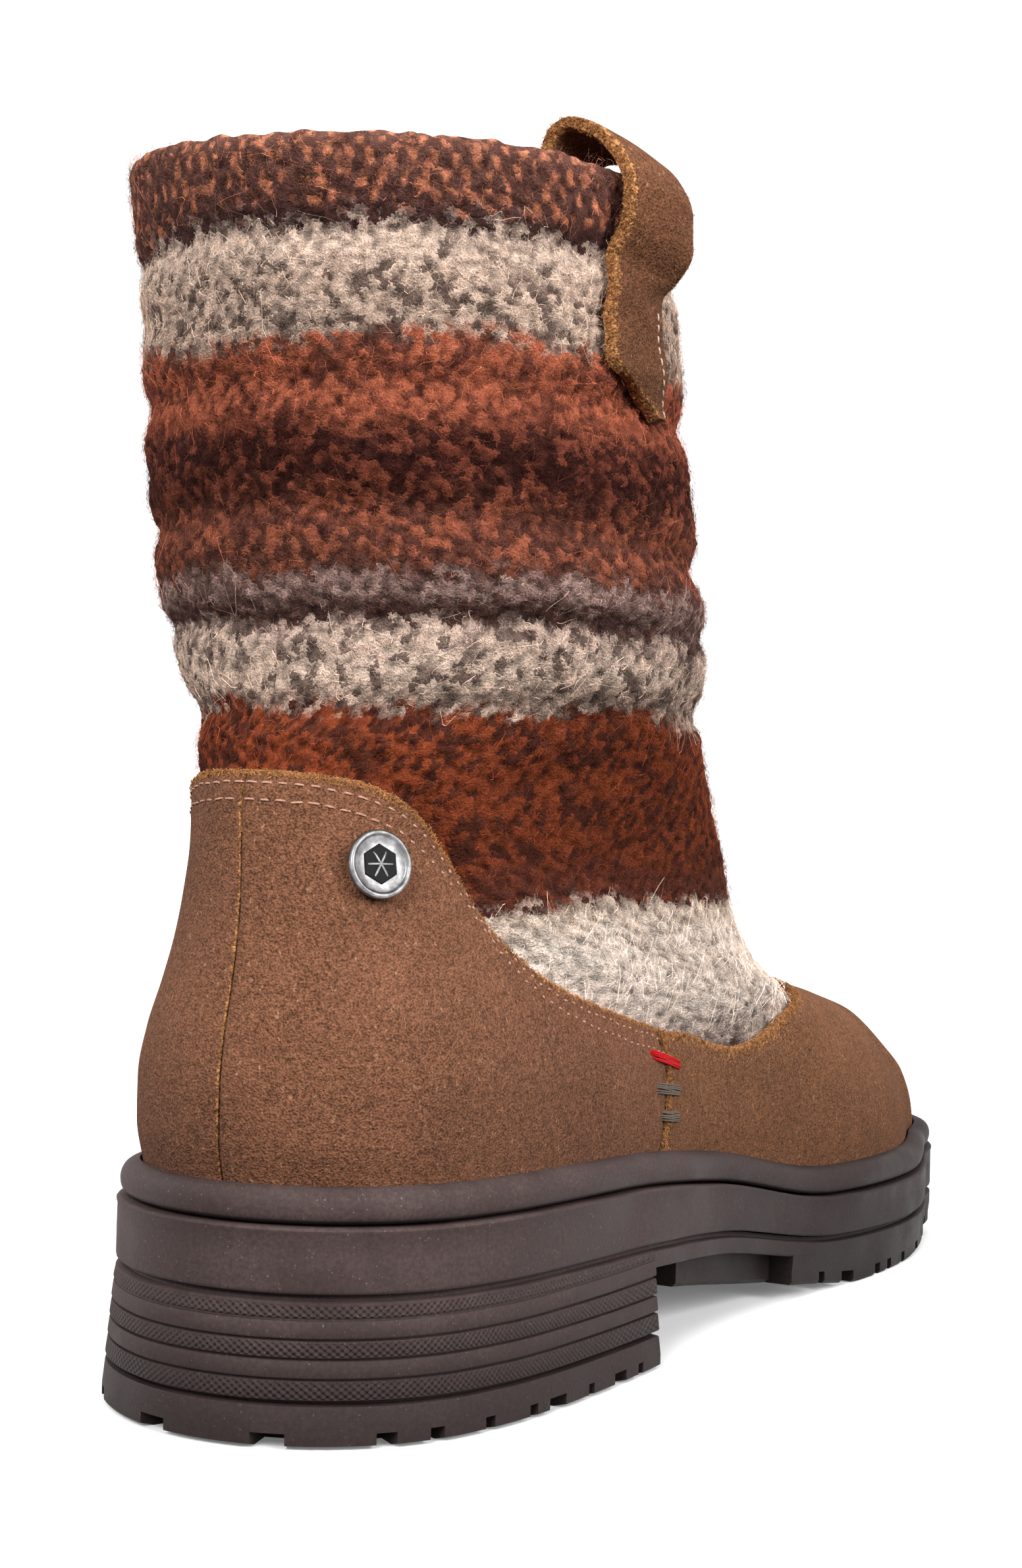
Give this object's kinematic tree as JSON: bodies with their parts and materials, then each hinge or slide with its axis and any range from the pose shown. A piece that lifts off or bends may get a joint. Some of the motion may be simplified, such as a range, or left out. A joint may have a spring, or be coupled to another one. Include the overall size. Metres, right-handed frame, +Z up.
{
  "type": "ankle bootie",
  "caption": "Left ankle bootie with a slouchy striped knit shaft, suede heel and toe panels, a side pull loop and a chunky lugged rubber sole with a block heel.",
  "frame": {"origin": "on the floor at the middle of the heel's tread", "axes": "+X towards the medial side, +Y towards the toe, +Z up"},
  "size_m": [0.1069, 0.2803, 0.2206],
  "materials": {
    "sole_rubber": "matt dark brown-grey moulded rubber",
    "suede": "brown suede with a short nap and raw golden cut edges",
    "wool_knit": "brushed wool knit striped in dark brown, rust, cream and grey",
    "insole_felt": "dense brown felt",
    "button_metal": "brushed silver with a polished rim"
  },
  "bodies": {
    "root": {"outsole": "sole_rubber", "midsole": "sole_rubber", "welt_bead": "sole_rubber", "insole": "insole_felt", "upper_knit": "wool_knit", "quarter_medial": "suede", "quarter_lateral": "suede", "vamp": "suede", "pull_loop": "suede", "button": "button_metal"}
  },
  "joints": []
}
